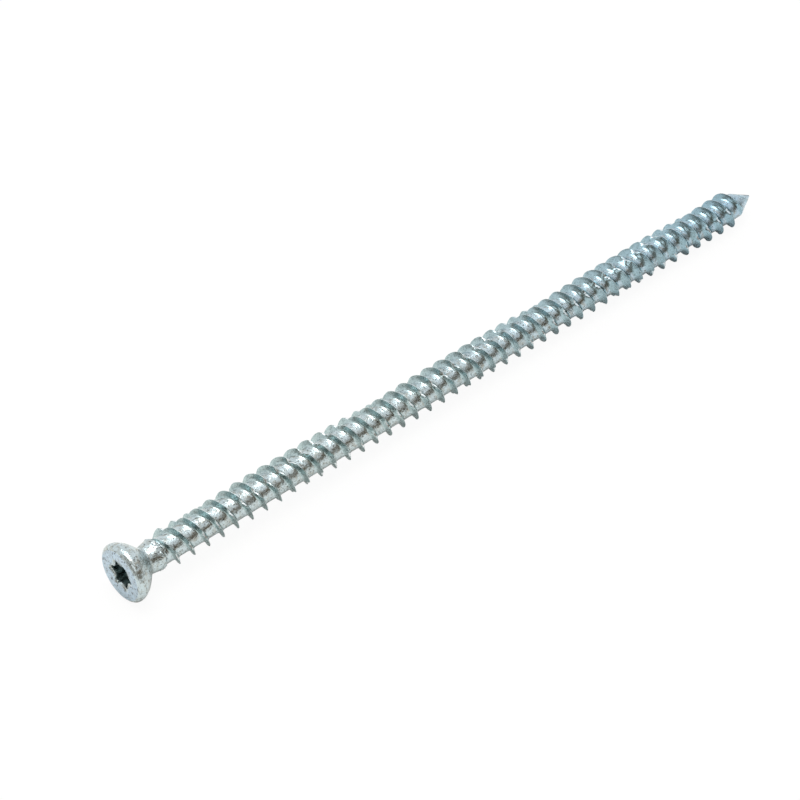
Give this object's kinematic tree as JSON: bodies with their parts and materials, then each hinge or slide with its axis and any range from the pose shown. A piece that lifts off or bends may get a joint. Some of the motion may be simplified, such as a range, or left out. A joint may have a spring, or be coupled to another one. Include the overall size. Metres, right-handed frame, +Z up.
{
  "type": "window frame screw",
  "caption": "Long flat-headed steel screw with a star recess and a coarse serrated thread, for fixing window and door frames straight into masonry.",
  "frame": {"origin": "middle of the lying screw's outer box, on the ground under it", "axes": "+X runs from the head to the point as seen from above, +Z is up, and +Y is to the left when looking from the head to the point"},
  "size_m": [0.16, 0.0114, 0.0113],
  "materials": {
    "plated_steel": "bright zinc plating with a pale blue cast, thin and slightly worn along the crests"
  },
  "bodies": {
    "root": {"screw": "plated_steel"}
  },
  "joints": []
}
